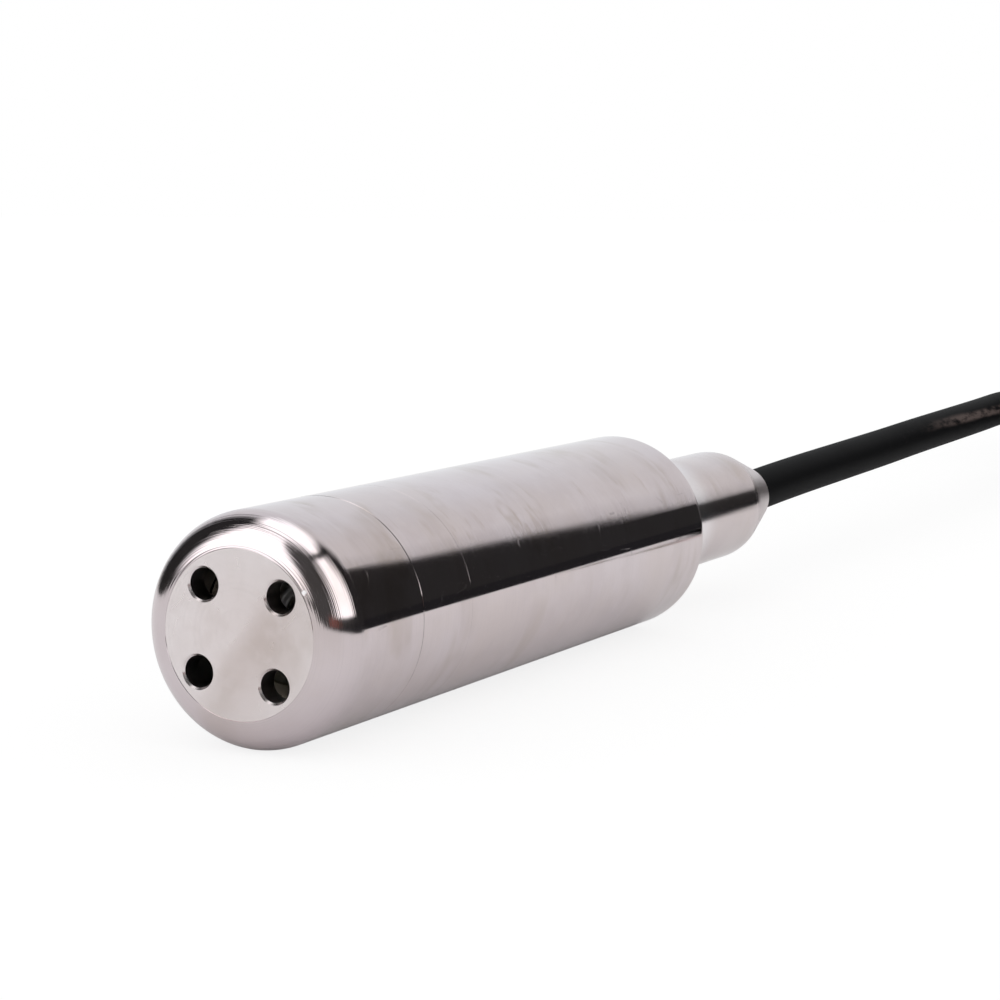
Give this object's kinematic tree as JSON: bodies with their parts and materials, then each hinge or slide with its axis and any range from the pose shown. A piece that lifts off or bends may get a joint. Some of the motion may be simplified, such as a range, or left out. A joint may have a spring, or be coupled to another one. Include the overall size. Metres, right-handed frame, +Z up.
{
  "type": "submersible level transmitter",
  "caption": "Submersible stainless level transmitter with a perforated screw-on nose cap, a round body, a tapered cable gland and a vented cable wound in a hank.",
  "frame": {"origin": "centre of the flat nose face", "axes": "+X runs along the probe's axis from the nose face to the cable gland; +Z is up as the probe lies on its side"},
  "size_m": [0.4714, 0.0899, 0.0476],
  "materials": {
    "stainless": "fine satin polish, brighter on the nose corner",
    "stainless_satin": "satin",
    "steel_foil": "bright pressed foil",
    "nickel_brass": "satin nickel plate",
    "tinned_copper": "bright tin plate",
    "gilt_pin": "gilt",
    "black_rubber": "matt",
    "cable_jacket": "satin",
    "white_nylon": "matt",
    "circuit_board": "satin lacquer",
    "chip_body": "matt",
    "capacitor_body": "satin",
    "arrester_ceramic": "glazed",
    "red_wire": "satin",
    "black_wire": "satin",
    "white_wire": "satin",
    "yellow_wire": "satin",
    "vent_tube": "translucent satin"
  },
  "bodies": {
    "probe": {"sensor_seat": "stainless", "housing_tube": "stainless", "gland_body": "stainless", "seat_o_ring": "black_rubber", "plug_o_ring": "black_rubber", "sensor_o_ring": "black_rubber", "sensor_body": "stainless_satin", "sensor_diaphragm": "steel_foil", "sensor_lock_ring": "nickel_brass", "sensor_vent_tube": "stainless_satin", "sensor_board": "circuit_board", "main_board": "circuit_board", "front_board_ring": "white_nylon", "rear_board_ring": "white_nylon", "amplifier_chip": "chip_body", "converter_chip": "chip_body", "front_capacitor": "capacitor_body", "rear_capacitor": "capacitor_body", "surge_arrester": "arrester_ceramic", "link_wire_1": "red_wire", "link_wire_2": "black_wire", "link_wire_3": "yellow_wire", "link_wire_4": "white_wire", "supply_wire": "red_wire", "return_wire": "black_wire", "vent_capillary": "vent_tube", "cable_grommet": "black_rubber", "gland_washer": "stainless_satin", "gland_screw": "nickel_brass", "cable_crimp_ring": "stainless_satin", "cable_inner_end": "cable_jacket", "cable_lead": "cable_jacket", "cable_tail": "cable_jacket", "cable_hank": "cable_jacket", "hank_tie_left": "white_nylon", "hank_tie_right": "white_nylon", "end_sleeve": "black_rubber", "end_wire_red": "red_wire", "end_wire_black": "black_wire", "end_vent_tube": "vent_tube", "end_drain_wire": "tinned_copper", "end_ferrule_red": "tinned_copper", "end_ferrule_black": "tinned_copper", "header_pin_1": "gilt_pin", "header_pin_2": "gilt_pin", "header_pin_3": "gilt_pin", "header_pin_4": "gilt_pin"},
    "lock_ring": {"cap_lock_ring": "black_rubber"},
    "cap": {"nose_cap": "stainless"}
  },
  "joints": [
    {"name": "cap_travel", "type": "slide", "parent": "probe", "child": "lock_ring", "axis": [-1, 0, 0], "range_m": [0, 0.015]},
    {"name": "cap_turn", "type": "hinge", "parent": "lock_ring", "child": "cap", "pos_m": [0, 0, 0], "axis": [-1, 0, 0], "range_deg": [0, 3600]}
  ],
  "couplings": [
    {"joint": "cap_travel", "follows": "cap_turn", "m_per_rad": 0.00023873}
  ]
}
